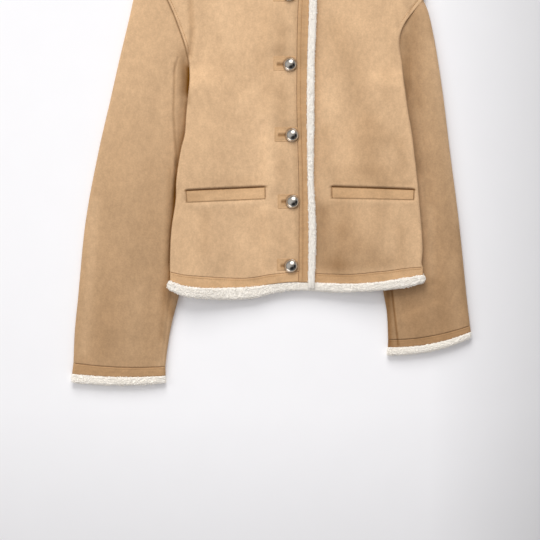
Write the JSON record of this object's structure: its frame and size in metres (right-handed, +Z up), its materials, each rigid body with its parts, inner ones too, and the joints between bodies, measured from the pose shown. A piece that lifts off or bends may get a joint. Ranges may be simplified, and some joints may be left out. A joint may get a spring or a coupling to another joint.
{
  "type": "suede jacket laid flat",
  "caption": "Short collarless suede jacket with cream shearling edges, buttoned and laid flat face up, sleeves tucked under its sides",
  "frame": {"origin": "On the flat underside of the back panel, below the front closing and between its second and third buttons.", "axes": "+X to the wearer's left, +Y towards the neck, +Z up from the surface the jacket lies on."},
  "size_m": [0.5983, 0.684, 0.0259],
  "materials": {
    "suede": "camel suede with a short soft nap, matte, lightly mottled",
    "suede_band": "camel suede, matte, stitched double, a little warmer than the panels",
    "shearling": "cream shearling pile, dense short curls",
    "silver_metal": "polished silver metal"
  },
  "bodies": {
    "root": {"back": "suede", "right_front": "suede", "left_front": "suede", "right_sleeve": "suede", "left_sleeve": "suede", "hem_band_right_front": "suede_band", "hem_band_left_front": "suede_band", "hem_band_back": "suede_band", "front_edge_band": "suede_band", "right_cuff_band": "suede_band", "left_cuff_band": "suede_band", "hem_trim_right_front": "shearling", "hem_trim_left_front": "shearling", "hem_trim_back": "shearling", "front_edge_trim": "shearling", "neck_trim_right_front": "shearling", "neck_trim_left_front": "shearling", "neck_trim_back": "shearling", "right_cuff_trim": "shearling", "left_cuff_trim": "shearling", "pocket_welt_right": "suede_band", "pocket_welt_left": "suede_band", "buttonhole_patch_1": "suede_band", "buttonhole_patch_2": "suede_band", "buttonhole_patch_3": "suede_band", "buttonhole_patch_4": "suede_band", "buttonhole_patch_5": "suede_band", "button_1": "silver_metal", "button_2": "silver_metal", "button_3": "silver_metal", "button_4": "silver_metal", "button_5": "silver_metal"}
  },
  "joints": []
}
